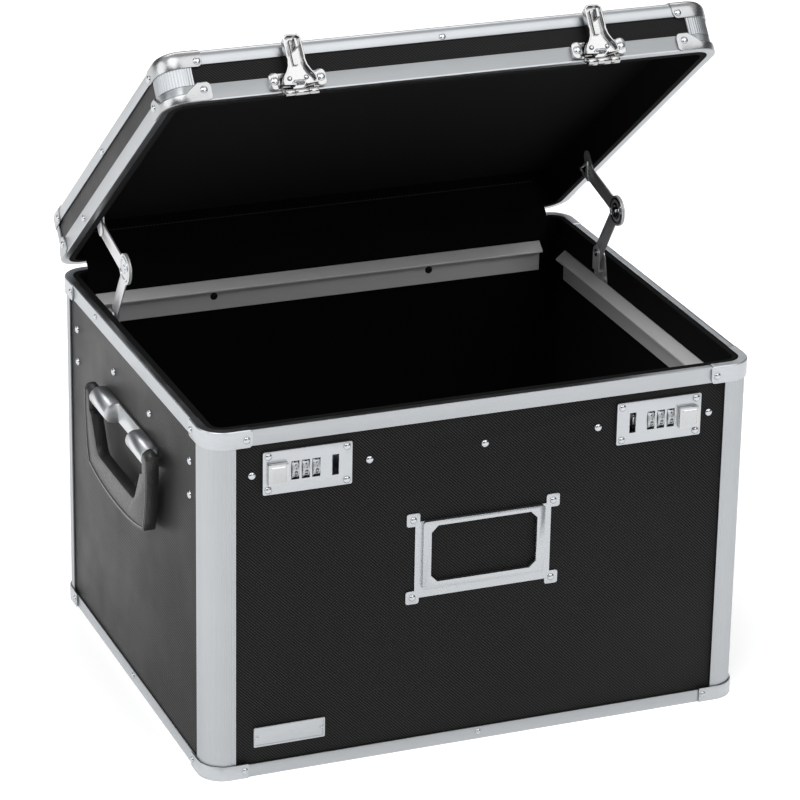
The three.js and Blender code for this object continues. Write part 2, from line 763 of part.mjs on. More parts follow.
function armOutline(from, to, width) {
  const length = Math.hypot(to.y - from.y, to.z - from.z);
  const radius = width / 2;
  const shape = new THREE.Shape();
  shape.absarc(0, 0, radius, Math.PI / 2, 1.5 * Math.PI);
  shape.absarc(length, 0, radius, -Math.PI / 2, Math.PI / 2);
  return shape;
}

// A flat bar with round ends between two pivots, lying in a plane of constant x.
function armBar(from, to, x0, x1, width) {
  const angle = Math.atan2(to.z - from.z, to.y - from.y);
  const geometry = extrude(armOutline(from, to, width), x1 - x0);
  geometry.rotateX(Math.PI / 2).rotateZ(Math.PI / 2).rotateX(angle);
  return toSolid(geometry.translate(x0, from.y, from.z));
}

// Drawn for the left stay, with x measured in from the wall; the right one is its mirror image.
function stays() {
  const inward = (side, a, b) => (side < 0 ? [-halfW + a, -halfW + b] : [halfW - b, halfW - a]);
  for (const [name, side] of [['left', -1], ['right', 1]]) {
    const at = (a, b) => inward(side, a, b);
    const arm = (from, layer) => {
      const bar = armBar(from, stayKnee, ...at(...layer), armWidth);
      const knee = barX(kneeRadius, ...at(...layer), stayKnee.y, stayKnee.z, 28);
      const hole = barX(2.3, ...at(layer[0] - 1, layer[1] + 1), from.y, from.z, 12);
      return cut(join(bar, knee), hole);
    };
    piece(`${name}_stay_upper_arm`, arm(stayLid, stayLayers.upper), steel);
    piece(`${name}_stay_lower_arm`, arm(stayCase, stayLayers.lower), steel);
    piece(`${name}_stay_case_bracket`, caseBracket(at), steel);
    piece(`${name}_stay_lid_bracket`, lidBracket(at), steel);
  }
}

// Foot on the case's lining, stepped in to an ear that carries the lower arm's pivot.
function caseBracket(at) {
  const [near, far] = stayLayers.foot;
  const across = [stayCase.y - 6, stayCase.y + 6];
  return join(
    armBar(stayCase, { y: stayCase.y, z: 277 }, ...at(near, far), 12),
    barX(2, ...at(stayLayers.lower[0] + 0.1, far), stayCase.y, stayCase.z, 12),
    block(at(10.1, far), across, [270.4, 272]),
    block(at(10.1, 11.5), across, [262.5, 272]),
    block(at(near, far), across, [270.4, 279]),
  );
}

// Direction from the hinge towards the lid's front, and square to the lid, as it stands open.
const open = THREE.MathUtils.degToRad(lidOpenAngle);
const lidOut = { y: -Math.cos(open), z: Math.sin(open) };
const lidUp = { y: Math.sin(open), z: Math.cos(open) };

function alongLid(point, out, up) {
  return { y: point.y + out * lidOut.y + up * lidUp.y, z: point.z + out * lidOut.z + up * lidUp.z };
}

// Plate on the lid's side lining that reaches down to the upper arm's pivot.
function lidBracket(at) {
  const top = alongLid(stayLid, 0, 13);
  const plate = armBar(stayLid, top, ...at(...stayLayers.ear), 12);
  const pin = barX(2, ...at(10.4, stayLayers.upper[1] - 0.1), stayLid.y, stayLid.z, 12);
  return join(plate, pin);
}

// ---- Assembly -----------------------------------------------------------------------------------
casePanels();
caseLining();
cornerPosts();
caseRims();
cornerCaps();
labelHolder();
badgePlate();
fileRails();
locks();
handles();
lidShell();
lidCorners();
lidLining();
hinge();
hasps();
stays();

// The lid's pieces are drawn shut in the chest's frame and turned open about the hinge pin.
const pinY = hingeY + beadRise;
lid.rotation.x = -open;
lid.position.set(0, pinY - (pinY * Math.cos(open) + hingeZ * Math.sin(open)), 0);
lid.position.z = hingeZ - (-pinY * Math.sin(open) + hingeZ * Math.cos(open));

export default chest;
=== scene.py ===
"""Looks of the locking file chest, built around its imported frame.

Lengths are in millimetres, and make() turns them into metres.
"""
import math

import bmesh
import bpy
from mathutils import Matrix, Vector


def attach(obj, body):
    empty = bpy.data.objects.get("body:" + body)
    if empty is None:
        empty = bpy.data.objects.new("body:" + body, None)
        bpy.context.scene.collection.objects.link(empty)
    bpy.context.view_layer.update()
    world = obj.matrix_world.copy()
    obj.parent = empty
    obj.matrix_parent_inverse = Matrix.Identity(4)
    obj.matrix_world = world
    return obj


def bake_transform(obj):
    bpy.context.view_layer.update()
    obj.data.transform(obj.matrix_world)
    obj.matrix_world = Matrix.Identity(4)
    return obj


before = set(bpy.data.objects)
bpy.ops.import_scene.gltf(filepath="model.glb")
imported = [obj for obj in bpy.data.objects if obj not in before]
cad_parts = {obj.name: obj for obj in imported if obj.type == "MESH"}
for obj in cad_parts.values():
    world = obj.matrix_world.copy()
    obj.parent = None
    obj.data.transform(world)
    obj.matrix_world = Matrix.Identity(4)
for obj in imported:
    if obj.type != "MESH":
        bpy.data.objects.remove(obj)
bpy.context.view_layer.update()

# ---- Driving dimensions, as in the frame ---------------------------------------------------------
MM = 0.001
HALF_W = 222.0
HALF_D = 182.0
CASE_H = 286.0
LID_BASE = 286.8  # the lid's heights are those of the shut lid
LID_TOP = 327.8
RADIUS = 18.5  # of the posts, in plan
GAP = 0.3  # drawn between pieces that touch
PANEL_FACE = 1.3  # panels lie this far behind the extrusions' faces
LINING_FACE = 9.8  # inner face of the case's lining, in from the extrusions' faces
LOCK_X = 143.0
LOCK_Z = 249.4
SLOT_X = 121.0  # middle of each hasp and of its slot in the lock
PLATE_Y = -183.2  # outer face of the lock plates
DIAL_Y = PLATE_Y + 7.0
DIAL_RADIUS = 8.6
DIALS = (136.2, 144.5, 152.8)
HINGE_Y = 186.1
HINGE_Z = 279.4
OPEN = math.radians(38.2)
HASP_Y = -188.0
HASP_Z = 284.2
SIDES = (("left", -1), ("right", 1))


def turned_about(y, z, angle):
    """A turn about the line along X through (y, z)."""
    there = Matrix.Translation((0, y * MM, z * MM))
    back = Matrix.Translation((0, -y * MM, -z * MM))
    return there @ Matrix.Rotation(angle, 4, "X") @ back


# Drawn shut, the lid's pieces are turned open about the hinge pin.
LID = turned_about(HINGE_Y, HINGE_Z, -OPEN)
# Drawn hanging down over their locks, the hasp arms are flipped up about their pins.
FLIP = turned_about(HASP_Y, HASP_Z, math.pi)

# ---- Camera --------------------------------------------------------------------------------------
CAMERA_PLACE = (-1.0543, -2.6365, 1.3831)
PAN, TILT, ROLL = math.radians(21.85), math.radians(22.39), math.radians(1.01)
LENS = 173.62
SENSOR = 36
VIEW_LIMIT = 60


def make_camera():
    forward = Vector((
        math.sin(PAN) * math.cos(TILT), math.cos(PAN) * math.cos(TILT), -math.sin(TILT)))
    right = Vector((math.cos(PAN), -math.sin(PAN), 0))
    up = right.cross(forward)
    right, up = (
        math.cos(ROLL) * right + math.sin(ROLL) * up,
        math.cos(ROLL) * up - math.sin(ROLL) * right,
    )
    data = bpy.data.cameras.new("camera")
    data.lens = LENS
    data.sensor_width = SENSOR
    data.clip_end = VIEW_LIMIT
    camera = bpy.data.objects.new("camera", data)
    turn = Matrix((right, up, -forward)).transposed()
    camera.matrix_world = Matrix.Translation(CAMERA_PLACE) @ turn.to_4x4()
    bpy.context.scene.collection.objects.link(camera)
    bpy.context.scene.camera = camera


# ---- Studio --------------------------------------------------------------------------------------
# The world's colour from straight down to straight up. Its dark band shades the metal's edges.
SKY = [
    (0.0, (0.30, 0.31, 0.32)), (0.22, (0.16, 0.16, 0.17)), (0.42, (0.10, 0.10, 0.11)),
    (0.56, (0.75, 0.76, 0.78)), (0.80, (1, 1, 1)), (1.0, (0.85, 0.85, 0.85)),
]
SKY_STRENGTH = 0.72
LIGHTS = (
    # name, place, target, size and power in watts
    ("key", (-1.6, -1.4, 3.0), (0, 0, 0.1), (2.2, 2.2), 36),
    ("front_top", (1.1, -1.9, 2.8), (0, -0.1, 0.4), (2.8, 2.4), 30),
    ("left_wall", (-3.2, 0.2, 1.2), (0, 0, 0.2), (2.4, 2.0), 34),
    ("front_fill", (0.9, -3.6, 1.6), (0, 0, 0.2), (1.6, 1.6), 14),
    ("back_top", (0.4, 2.6, 2.8), (0, 0.2, 0.2), (3.0, 1.4), 34),
)
FLOOR_SIZE = 24
FLOOR_WHITE = 0.92
FLOOR_GLOW = 0.33  # keeps the floor near white under the chest's shade


def area_light(name, place, target, size, power):
    data = bpy.data.lights.new(name, "AREA")
    data.shape = "RECTANGLE"
    data.size, data.size_y = size
    data.energy = power
    light = bpy.data.objects.new(name, data)
    light.location = place
    aim = Vector(target) - Vector(place)
    light.rotation_euler = aim.to_track_quat("-Z", "Y").to_euler()
    bpy.context.scene.collection.objects.link(light)


def make_studio():
    world = bpy.data.worlds.new("studio")
    world.use_nodes = True
    tree = world.node_tree
    background = tree.nodes["Background"]
    coordinates = tree.nodes.new("ShaderNodeTexCoord")
    split = tree.nodes.new("ShaderNodeSeparateXYZ")
    tree.links.new(coordinates.outputs["Generated"], split.inputs[0])
    sky = ramp(tree, split.outputs["Z"], SKY)
    tree.links.new(sky, background.inputs["Color"])
    background.inputs["Strength"].default_value = SKY_STRENGTH
    bpy.context.scene.world = world
    for light in LIGHTS:
        area_light(*light)

    bpy.ops.mesh.primitive_plane_add(size=FLOOR_SIZE, location=(0, 0, 0))
    floor = bpy.context.object
    floor.name = "studio_floor"
    material, tree, shader = new_material("floor_pale")
    shader.inputs["Base Color"].default_value = (*grey(FLOOR_WHITE), 1)
    shader.inputs["Roughness"].default_value = 0.9
    shader.inputs["Specular IOR Level"].default_value = 0.1
    shader.inputs["Emission Color"].default_value = (1, 1, 1, 1)
    shader.inputs["Emission Strength"].default_value = FLOOR_GLOW
    floor.data.materials.append(material)
    bpy.context.scene.view_settings.view_transform = "Standard"


# ---- Material helpers ----------------------------------------------------------------------------
def new_material(name):
    material = bpy.data.materials.new(name)
    material.use_nodes = True
    tree = material.node_tree
    return material, tree, tree.nodes["Principled BSDF"]


def node(tree, kind, inputs=(), **settings):
    made = tree.nodes.new("ShaderNode" + kind)
    for key, value in settings.items():
        setattr(made, key, value)
    for key, value in dict(inputs).items():
        if isinstance(value, bpy.types.NodeSocket):
            tree.links.new(value, made.inputs[key])
        else:
            made.inputs[key].default_value = value
    return made


def math_node(tree, operation, a, b=0.0):
    return node(tree, "Math", {0: a, 1: b}, operation=operation).outputs[0]


def place_in_mm(tree, on_lid):
    """Position on the piece in millimetres. A lid node's is turned back to shut."""
    vector = node(tree, "TexCoord").outputs["Object"]
    if on_lid:
        hinge = (0, HINGE_Y * MM, HINGE_Z * MM)
        vector = node(
            tree, "VectorRotate", {"Vector": vector, "Center": hinge, "Angle": OPEN},
            rotation_type="X_AXIS").outputs[0]
    return node(tree, "VectorMath", {0: vector, "Scale": 1000.0}, operation="SCALE").outputs[0]


def ramp(tree, factor, stops):
    made = node(tree, "ValToRGB", {"Fac": factor})
    elements = made.color_ramp.elements
    while len(elements) < len(stops):
        elements.new(0.5)
    for element, (position, colour) in zip(elements, stops):
        element.position = position
        element.color = (*colour, 1)
    return made.outputs["Color"]


def grey(value, tint=0.0):
    """A grey, bluer by tint."""
    return (value * (1 - tint), value, value * (1 + tint))


def noise(tree, where, scale, detail, **more):
    inputs = {"Vector": where, "Scale": scale, "Detail": detail, **more}
    return node(tree, "TexNoise", inputs).outputs["Fac"]


def weighed(tree, a, share, b):
    """share of a and the rest of b."""
    first = math_node(tree, "MULTIPLY", a, share)
    second = math_node(tree, "MULTIPLY", b, round(1 - share, 3))
    return math_node(tree, "ADD", first, second)


def base_colour(tree, shader, factor, stops):
    tree.links.new(ramp(tree, factor, stops), shader.inputs["Base Color"])


def roughness_from(tree, shader, factor, span, values):
    """Roughness that goes from values[0] to values[1] as factor goes over span."""
    inputs = {0: factor, 1: span[0], 2: span[1], 3: values[0], 4: values[1]}
    tree.links.new(node(tree, "MapRange", inputs).outputs[0], shader.inputs["Roughness"])


def bump_from(tree, shader, height, strength, depth):
    """Bump of a depth in millimetres."""
    inputs = {"Height": height, "Strength": strength, "Distance": depth * MM}
    tree.links.new(node(tree, "Bump", inputs).outputs[0], shader.inputs["Normal"])


def metal(name, level, roughness, streak, tint=0.035, spread=0.05, bump=0.02, on_lid=False,
          metallic=1.0):
    """Metal with faint smudges and a fine grain, drawn out along the axes where streak is low.

    level is its grey, spread how far its roughness wanders, and bump the grain's depth.
    """
    material, tree, shader = new_material(name)
    where = place_in_mm(tree, on_lid)
    stretched = node(tree, "Mapping", {"Vector": where, "Scale": streak}).outputs[0]
    grain = noise(tree, stretched, 2.2, 3.0)
    smudge = noise(tree, where, 0.035, 4.0)
    stops = [(0.25, grey(level * 0.93, tint)), (0.75, grey(level, tint))]
    base_colour(tree, shader, grain, stops)
    mixed = weighed(tree, grain, 0.6, smudge)
    roughness_from(tree, shader, mixed, (0.3, 0.7), (roughness - spread, roughness + spread))
    shader.inputs["Metallic"].default_value = metallic
    bump_from(tree, shader, grain, 0.25, bump)
    return material


WEAVE_PITCH = 2.5
WEAVE_DEPTH = 0.22
WEFT_PITCH = 0.94  # how many times as close one diagonal is as the other, so that they drift


def laminate(name, dark, light, plane, on_lid=False, roughness=0.42):
    """Pressed laminate with a fine diagonal weave, whose lighter stripes are partly its own pattern
    and partly painted glints of light. plane names the two directions it lies in.
    """
    material, tree, shader = new_material(name)
    where = place_in_mm(tree, on_lid)
    split = node(tree, "SeparateXYZ", {0: where})
    u = split.outputs[plane[0]]
    v = split.outputs[plane[1]]
    k = 2 * math.pi / WEAVE_PITCH
    rising = math_node(tree, "MULTIPLY", math_node(tree, "ADD", u, v), k)
    falling = math_node(tree, "MULTIPLY", math_node(tree, "SUBTRACT", u, v), k * WEFT_PITCH)
    warp = math_node(tree, "SINE", rising)
    weft = math_node(tree, "ADD", math_node(tree, "SINE", falling), 1.4)
    crossed = math_node(tree, "MULTIPLY", warp, weft)
    weave = math_node(tree, "ADD", math_node(tree, "MULTIPLY", crossed, 0.21), 0.5)
    cloud = noise(tree, where, 0.02, 3.0)
    # The weave's light stops paint glints of light on the texture, over the laminate's own
    # near-black.
    base_colour(tree, shader, weave, [(0.42, grey(dark)), (0.78, grey(light))])
    roughness_from(tree, shader, cloud, (0.3, 0.7), (roughness - 0.05, roughness + 0.05))
    shader.inputs["Specular IOR Level"].default_value = 0.10
    bump_from(tree, shader, weave, 0.8, WEAVE_DEPTH)
    return material


def felt(name, level):
    """Matted black cloth: fine fibres over slow patches."""
    material, tree, shader = new_material(name)
    where = place_in_mm(tree, False)
    fibres = noise(tree, where, 1.4, 6.0, Roughness=0.7)
    patch = noise(tree, where, 0.03, 3.0)
    mixed = weighed(tree, fibres, 0.7, patch)
    base_colour(tree, shader, mixed, [(0.3, grey(level * 0.6)), (0.7, grey(level * 1.4))])
    shader.inputs["Roughness"].default_value = 0.95
    shader.inputs["Specular IOR Level"].default_value = 0.06
    shader.inputs["Sheen Weight"].default_value = 0.02
    shader.inputs["Sheen Roughness"].default_value = 0.5
    bump_from(tree, shader, fibres, 0.6, 0.25)
    return material


def pebbled_plastic(name, level, cell, bump, roughness):
    """Moulded plastic with pebbles of one cell each."""
    material, tree, shader = new_material(name)
    where = place_in_mm(tree, False)
    cells = node(tree, "TexVoronoi", {"Vector": where, "Scale": 1 / cell}, feature="SMOOTH_F1")
    pebbles = cells.outputs["Distance"]
    wander = noise(tree, where, 0.08, 3.0)
    base_colour(tree, shader, wander, [(0.3, grey(level * 0.8)), (0.7, grey(level * 1.25))])
    roughness_from(tree, shader, pebbles, (0.0, 0.8), (roughness - 0.06, roughness + 0.12))
    bump_from(tree, shader, pebbles, 0.7, bump)
    return material


def plain(name, colour, roughness, metallic=0.0):
    """Paint or ink with a slight mottle."""
    material, tree, shader = new_material(name)
    mottle = noise(tree, place_in_mm(tree, False), 0.6, 3.0)
    base_colour(tree, shader, mottle, [(0.3, tuple(c * 0.85 for c in colour)), (0.7, colour)])
    shader.inputs["Roughness"].default_value = roughness
    shader.inputs["Metallic"].default_value = metallic
    return material


# ---- Mesh helpers --------------------------------------------------------------------------------
SHARP_ANGLE = 40
BEVEL_ANGLE = 32
BEVEL_SEGMENTS = 2
SAME_POINT = 1e-7  # metres
SAME_CAD_POINT = 1e-5


def make(name, body, material, parts, place=None, bevel=0.0):
    """One object from several (vertices, faces) parts, drawn in millimetres and moved by place.

    It rides on body, where one is given.
    """
    vertices, faces = [], []
    for part_vertices, part_faces in parts:
        first = len(vertices)
        vertices += [tuple(Vector(v) * MM) for v in part_vertices]
        faces += [[first + i for i in face] for face in part_faces]
    mesh = bpy.data.meshes.new(name)
    mesh.from_pydata(vertices, [], faces)
    work = bmesh.new()
    work.from_mesh(mesh)
    bmesh.ops.remove_doubles(work, verts=work.verts, dist=SAME_POINT)
    bmesh.ops.recalc_face_normals(work, faces=work.faces)
    work.to_mesh(mesh)
    work.free()
    mesh.shade_smooth()
    mesh.set_sharp_from_angle(angle=math.radians(SHARP_ANGLE))
    mesh.materials.append(material)
    made = bpy.data.objects.new(name, mesh)
    bpy.context.scene.collection.objects.link(made)
    if place is not None:
        made.matrix_world = place
    if bevel:
        add_bevel(made, bevel)
    if body:
        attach(made, body)
    return made


def add_bevel(obj, width):
    modifier = obj.modifiers.new("edge", "BEVEL")
    modifier.width = width * MM
    modifier.segments = BEVEL_SEGMENTS
    modifier.limit_method = "ANGLE"
    modifier.angle_limit = math.radians(BEVEL_ANGLE)
    modifier.harden_normals = True


def loft(loops, capped=True):
    """A skin over closed loops of equal length."""
    count = len(loops[0])
    vertices = [point for loop in loops for point in loop]
    faces = []
    for row in range(len(loops) - 1):
        for i in range(count):
            j = (i + 1) % count
            low, high = row * count, (row + 1) * count
            faces.append([low + i, low + j, high + j, high + i])
    if capped:
        faces.append(list(range(count))[::-1])
        faces.append(list(range((len(loops) - 1) * count, len(loops) * count)))
    return vertices, faces


def basis(origin, normal):
    """Matrix whose third axis is normal, drawn in millimetres."""
    n = Vector(normal).normalized()
    side = Vector((0, 0, 1)).cross(n)
    if side.length < 1e-6:
        side = Vector((1, 0, 0))
    side.normalize()
    turn = Matrix((side, n.cross(side), n)).transposed()
    return Matrix.Translation(origin) @ turn.to_4x4()


def lathe(profile, origin, normal, sides=14):
    """A turned form. profile is (radius, height) pairs; a zero radius closes it."""
    matrix = basis(origin, normal)
    vertices, faces, rows = [], [], []
    for radius, height in profile:
        if radius == 0:
            rows.append([len(vertices)])
            vertices.append(matrix @ Vector((0, 0, height)))
            continue
        row = []
        for i in range(sides):
            angle = 2 * math.pi * i / sides
            row.append(len(vertices))
            across, up = radius * math.cos(angle), radius * math.sin(angle)
            vertices.append(matrix @ Vector((across, up, height)))
        rows.append(row)
    for a, b in zip(rows, rows[1:]):
        for i in range(sides):
            j = (i + 1) % sides
            face = [a[i % len(a)], a[j % len(a)], b[j % len(b)], b[i % len(b)]]
            faces.append(list(dict.fromkeys(face)))
    return vertices, faces


# A rivet's dome, as shares of its radius and height, from its foot to its top.
DOME = [(0.0, -0.1), (1.0, 0.0), (1.0, 0.12), (0.93, 0.42), (0.76, 0.72), (0.5, 0.92),
        (0.24, 0.99), (0.0, 1.0)]


def rivet(origin, normal, radius=3.2, height=1.9):
    return lathe([(radius * r, height * h) for r, h in DOME], origin, normal, 16)


def screw(origin, normal, radius, height):
    """A screw's head: a shallow dome with a round recess."""
    profile = [(0, -0.2), (radius, -0.2), (radius, 0.15), (radius * 0.8, height * 0.8),
               (radius * 0.42, height), (radius * 0.3, height * 0.45), (0, height * 0.35)]
    return lathe(profile, origin, normal, 16)


def slab(outline, low, high, plane):
    """An outline drawn in two directions, given thickness in the third. plane is XZ, YZ or XY."""
    def point(u, v, w):
        return {"XZ": (u, w, v), "YZ": (w, u, v), "XY": (u, v, w)}[plane]
    return loft([[point(u, v, w) for u, v in outline] for w in (low, high)])


def rounded(u0, u1, v0, v1, radius, steps=4):
    """A rectangle with round corners."""
    points = []
    for cu, cv, start in ((u1 - radius, v0 + radius, -90), (u1 - radius, v1 - radius, 0),
                          (u0 + radius, v1 - radius, 90), (u0 + radius, v0 + radius, 180)):
        for step in range(steps + 1):
            angle = math.radians(start + 90 * step / steps)
            points.append((cu + radius * math.cos(angle), cv + radius * math.sin(angle)))
    return points


ARC_STEPS = 10
END_STEPS = 4
END_LENGTH = 4.0


def corner_path(reach, corner):
    """Stations round a vertical corner: (point, outward normal, distance from the nearer end)."""
    sx, sy = corner
    stations = []
    arc = RADIUS * math.pi / 2
    run = reach - RADIUS
    total = run + arc + run
    along = [END_LENGTH * i / END_STEPS for i in range(END_STEPS)]
    along += [END_LENGTH, run * 0.6, run]
    along += [run + arc * i / ARC_STEPS for i in range(1, ARC_STEPS)]
    along += [run + arc, run + arc + run * 0.4, total - END_LENGTH]
    along += [total - END_LENGTH * i / END_STEPS for i in range(END_STEPS - 1, -1, -1)]
    for s in sorted(set(round(a, 4) for a in along)):
        if s <= run:
            u, v, nu, nv = reach - s, 0.0, 0.0, -1.0
        elif s <= run + arc:
            angle = (s - run) / RADIUS
            nu, nv = -math.sin(angle), -math.cos(angle)
            u, v = RADIUS + RADIUS * nu, RADIUS + RADIUS * nv
        else:
            u, v, nu, nv = 0.0, RADIUS + s - run - arc, -1.0, 0.0
        point = Vector((sx * (HALF_W - u), sy * (HALF_D - v), 0))
        normal = Vector((-sx * nu, -sy * nv, 0))
        stations.append((point, normal, min(s, total - s)))
    return stations


def end_round(distance, radius):
    """How far a strip's edge draws in near its end, so that the end has round corners."""
    if distance >= radius:
        return 0.0
    return radius - math.sqrt(radius * radius - (radius - distance) ** 2)


CORNERS = {
    "front_left": (-1, -1), "front_right": (1, -1), "back_right": (1, 1), "back_left": (-1, 1),
}

# ---- Materials -----------------------------------------------------------------------------------
ALUMINIUM = 0.46
UPRIGHT = (1, 1, 0.015)  # grain of the posts, drawn out along Z
LEVEL = (0.02, 0.02, 1)  # grain of the rims, drawn out along X and Y
EVEN = (0.3, 0.3, 0.3)
aluminium_post = metal("aluminium_post", ALUMINIUM, 0.40, UPRIGHT)
aluminium_rim = metal("aluminium_rim", ALUMINIUM, 0.36, LEVEL)
aluminium_lid = metal("aluminium_lid", ALUMINIUM, 0.36, LEVEL, on_lid=True)
aluminium_lid_corner = metal("aluminium_lid_corner", ALUMINIUM, 0.40, UPRIGHT, on_lid=True)
aluminium_cap = metal("aluminium_cap", 0.52, 0.34, (0.05, 0.05, 0.3))
aluminium_rail = metal("aluminium_rail", 0.80, 0.42, LEVEL, tint=0.0, metallic=0.25)
polished_cap = metal("polished_cap", 0.40, 0.27, (0.03, 0.03, 1), tint=0.015, spread=0.03)
satin_steel = metal("satin_steel", 0.51, 0.30, (0.03, 1, 1), spread=0.04)
plated_steel = metal("plated_steel", 0.45, 0.26, EVEN)
chrome = metal("chrome", 0.52, 0.12, EVEN, tint=0.01, spread=0.02, bump=0.004)
hasp_chrome = metal("hasp_chrome", 0.46, 0.13, EVEN, tint=0.0, spread=0.03, bump=0.01)
stay_metal = metal("stay_metal", 0.62, 0.34, EVEN, tint=0.01, metallic=0.6)
bracket_metal = metal("bracket_metal", 0.62, 0.30, EVEN, tint=0.02, spread=0.03)
rivet_metal = metal("rivet_metal", 0.55, 0.20, (0.4, 0.4, 0.4), spread=0.03)
dial_metal = metal("dial_metal", 0.46, 0.42, (1, 0.1, 0.1), spread=0.04)
# The side faces get a lighter copy of the front's laminate: painted light, for the light that falls
# on the sides from the left.
FACING = {"dark": 0.0005, "light": 0.026}
SIDEWAYS_PAINTED_LIT = {"dark": 0.001, "light": 0.045, "plane": ("Y", "Z"), "roughness": 0.38}
black_front = laminate("laminate_front", plane=("X", "Z"), **FACING)
black_side_painted_lit = laminate("laminate_side_painted_lit", **SIDEWAYS_PAINTED_LIT)
black_base = laminate("laminate_base", plane=("X", "Y"), **FACING)
black_lid_top = laminate("laminate_lid_top", plane=("X", "Y"), on_lid=True, **FACING)
black_lid_front = laminate("laminate_lid_front", plane=("X", "Z"), on_lid=True, **FACING)
black_lid_side_painted_lit = laminate("laminate_lid_side_painted_lit", on_lid=True, **SIDEWAYS_PAINTED_LIT)
lining_felt = felt("lining_felt", 0.0025)
grip_plastic = pebbled_plastic("grip_plastic", 0.017, 1.5, 0.35, 0.34)
smooth_plastic = plain("smooth_plastic", (0.03, 0.03, 0.031), 0.25)
digit_ink = plain("digit_ink", (0.01, 0.01, 0.011), 0.45)
cover_cloth = felt("cover_cloth", 0.004)
stitch_thread = plain("stitch_thread", (0.018, 0.018, 0.019), 0.7)
black_screw = plain("black_screw", (0.02, 0.02, 0.022), 0.35, 0.6)

# Material of each CAD node, and the width of its bevel, with 0 for sharp edges.
NODE_LOOKS = {
    "front_panel": (black_front, 0.2), "back_panel": (black_front, 0.2),
    "left_panel": (black_side_painted_lit, 0.2), "right_panel": (black_side_painted_lit, 0.2),
    "bottom_panel": (black_base, 0.2), "lid_top_panel": (black_lid_top, 0.2),
    "lid_band": (black_lid_front, 0.0),
    "case_lining": (lining_felt, 0.0), "lid_lining": (lining_felt, 0.0),
    "case_top_rim": (aluminium_rim, 0.25), "case_bottom_rim": (aluminium_rim, 0.25),
    "lid_lower_rim": (aluminium_lid, 0.25), "lid_upper_rim": (aluminium_lid, 0.25),
    "label_holder": (satin_steel, 0.3), "badge_plate": (satin_steel, 0.25),
    "hinge_leaf_case": (plated_steel, 0.2), "hinge_leaf_lid": (plated_steel, 0.2),
}
for corner in CORNERS:
    NODE_LOOKS["corner_post_" + corner] = (aluminium_post, 0.0)
    NODE_LOOKS["lid_corner_" + corner] = (aluminium_lid_corner, 0.0)
    NODE_LOOKS["corner_cap_" + corner] = (aluminium_cap, 0.35)
for rail in ("back", "front", "left", "right"):
    NODE_LOOKS["file_rail_" + rail] = (aluminium_rail, 0.25)
for side, _ in SIDES:
    NODE_LOOKS[side + "_lock_plate"] = (satin_steel, 0.3)
    NODE_LOOKS[side + "_lock_slider"] = (chrome, 1.3)
    NODE_LOOKS[side + "_handle_bracket"] = (bracket_metal, 1.0)
    NODE_LOOKS[side + "_handle_grip"] = (grip_plastic, 1.6)
    NODE_LOOKS[side + "_hasp_bracket"] = (hasp_chrome, 0.4)
    NODE_LOOKS[side + "_hasp_arm"] = (hasp_chrome, 0.45)
    for number in (1, 2, 3):
        NODE_LOOKS[f"{side}_dial_{number}"] = (dial_metal, 0.3)
    for part in ("stay_case_bracket", "stay_lid_bracket", "stay_lower_arm", "stay_upper_arm"):
        NODE_LOOKS[f"{side}_{part}"] = (stay_metal, 0.25)
SIDEWAYS_NORMAL = 0.7


def dress_frame():
    """Gives every CAD node its material, and its edges a bevel or a crisp split."""
    for name, (material, bevel) in NODE_LOOKS.items():
        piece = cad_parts[name]
        piece.data.materials.clear()
        piece.data.materials.append(material)
        piece.data.shade_smooth()
        weld = piece.modifiers.new("weld", "WELD")
        weld.merge_threshold = SAME_CAD_POINT
        if bevel:
            add_bevel(piece, bevel)
        else:
            split = piece.modifiers.new("split", "EDGE_SPLIT")
            split.split_angle = math.radians(BEVEL_ANGLE)
    paint_band_ends()


def paint_band_ends():
    """Gives the left and right faces of the lid's band the weave drawn in Y and Z, in the side
    laminate's lighter copy with painted light.
    """
    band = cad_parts["lid_band"].data
    band.materials.append(black_lid_side_painted_lit)
    for face in band.polygons:
        face.material_index = 1 if abs(face.normal.x) > SIDEWAYS_NORMAL else 0


# ---- Rivets and screws ---------------------------------------------------------------------------
RIM_RIVET = (2.4, 1.3)  # radius and height
LID_RIVET = (2.7, 1.5)
FRONT_ROW_Z = 248.4
SIDE_ROW_Z = 249.5
HANDLE_RIVET_Z = 222
BASE_RIM_Z = 6


def case_rivets():
    """Rows of rivets across the panels, and single ones in the rims."""
    face_y = HALF_D - PANEL_FACE
    face_x = HALF_W - PANEL_FACE
    parts = []
    for end in (-1, 1):
        for x in (0, -93.1, 93.1, -186, 186):
            parts.append(rivet((x, end * face_y, FRONT_ROW_Z), (0, end, 0)))
        parts.append(rivet((0, end * HALF_D, BASE_RIM_Z), (0, end, 0), *RIM_RIVET))
        for y in (-141.5, -45, 45, 141.5):
            parts.append(rivet((end * face_x, y, SIDE_ROW_Z), (end, 0, 0)))
        for y in (-141, 141):
            parts.append(rivet((end * face_x, y, HANDLE_RIVET_Z), (end, 0, 0)))
        for y, z in ((88, 280), (0, BASE_RIM_Z)):
            parts.append(rivet((end * HALF_W, y, z), (end, 0, 0), *RIM_RIVET))
    make("case_rivets", "case", rivet_metal, parts)


def lid_rivets():
    upper, lower = LID_BASE + 31.5, LID_BASE + 7
    parts = []
    for end in (-1, 1):
        parts.append(rivet((0, end * HALF_D, upper), (0, end, 0), *LID_RIVET))
        parts.append(rivet((end * HALF_W, 0, upper), (end, 0, 0), *LID_RIVET))
        parts.append(rivet((end * HALF_W, 85, lower), (end, 0, 0), *LID_RIVET))
    make("lid_rivets", "lid", rivet_metal, parts, LID)


# ---- Corner brackets and caps --------------------------------------------------------------------
def strip(stations, section):
    """A sheet along the stations. section gives (outward, height) points at each distance."""
    loops = []
    for point, normal, distance in stations:
        loops.append([point + normal * out + Vector((0, 0, z)) for out, z in section(distance)])
    return loft(loops)


